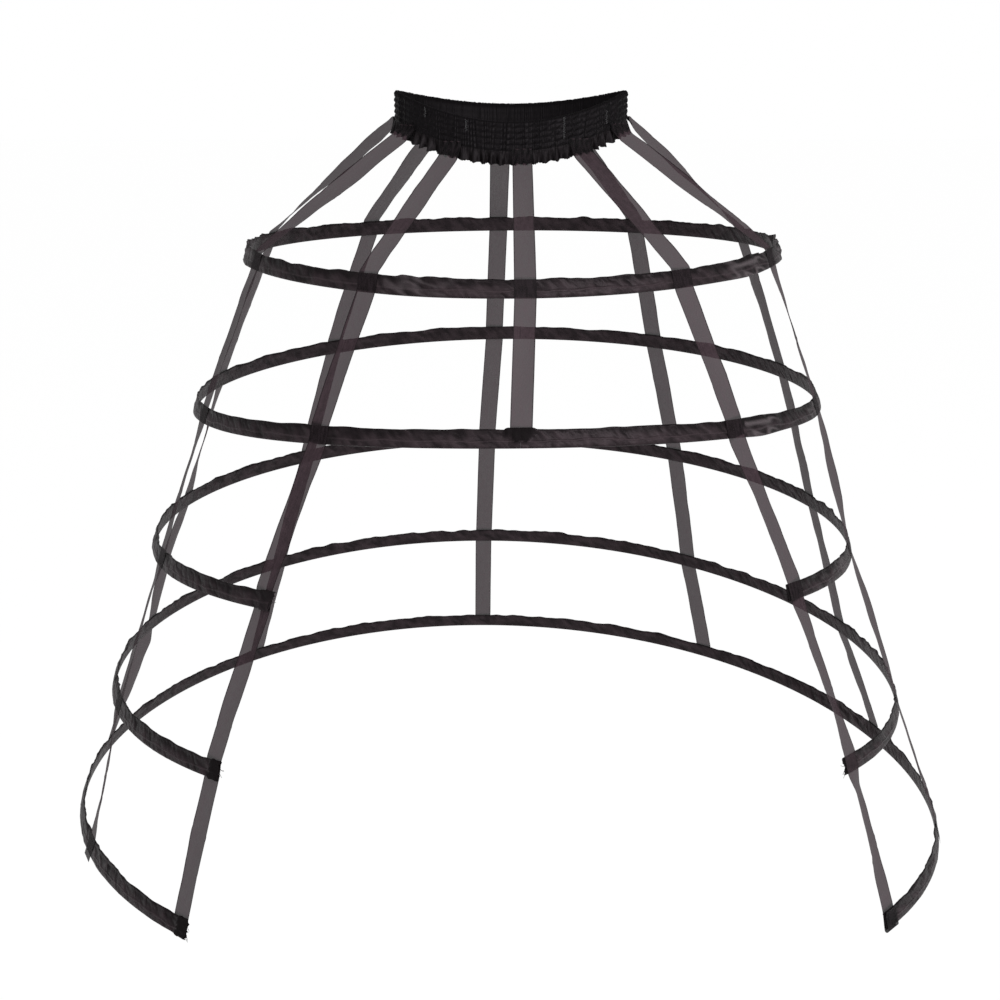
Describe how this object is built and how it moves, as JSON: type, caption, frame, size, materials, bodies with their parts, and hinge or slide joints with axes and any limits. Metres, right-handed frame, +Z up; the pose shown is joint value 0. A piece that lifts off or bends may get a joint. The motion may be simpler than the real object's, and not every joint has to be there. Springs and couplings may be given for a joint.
{
  "type": "crinoline cage",
  "caption": "Open-fronted crinoline cage: organza tapes hang from a shirred elastic waistband and carry boned satin hoops that widen to the hem, to hold a skirt out.",
  "frame": {"origin": "middle of the waist opening, where the wearer's waist holds the cage", "axes": "+Z up through the waist opening, the open front faces -Y, +X to the right as seen from the front"},
  "size_m": [1.0932, 0.9715, 0.8997],
  "materials": {
    "waist_satin": "shirred black satin",
    "casing_satin": "puckered black satin",
    "organza": "sheer black organza",
    "elastic": "woven elastic",
    "bone_steel": "flat spring steel",
    "sleeve_metal": "crimped brass",
    "cap_plastic": "dipped plastic"
  },
  "bodies": {
    "root": {"hoop_1_bone": "bone_steel", "hoop_1_bone_sleeve": "sleeve_metal", "hoop_1_casing": "casing_satin", "hoop_2_bone": "bone_steel", "hoop_2_bone_sleeve": "sleeve_metal", "hoop_2_casing": "casing_satin", "hoop_3_bone": "bone_steel", "hoop_3_casing": "casing_satin", "hoop_3_left_bone_cap": "cap_plastic", "hoop_3_right_bone_cap": "cap_plastic", "hoop_4_bone": "bone_steel", "hoop_4_casing": "casing_satin", "hoop_4_left_bone_cap": "cap_plastic", "hoop_4_right_bone_cap": "cap_plastic", "hoop_5_bone": "bone_steel", "hoop_5_casing": "casing_satin", "hoop_5_left_bone_cap": "cap_plastic", "hoop_5_right_bone_cap": "cap_plastic", "tape_back_centre": "organza", "tape_back_left": "organza", "tape_back_right": "organza", "tape_front_centre": "organza", "tape_front_left": "organza", "tape_front_right": "organza", "tape_left_side_back": "organza", "tape_left_side_front": "organza", "tape_right_side_back": "organza", "tape_right_side_front": "organza", "waist_elastic": "elastic", "waistband": "waist_satin"}
  },
  "joints": []
}
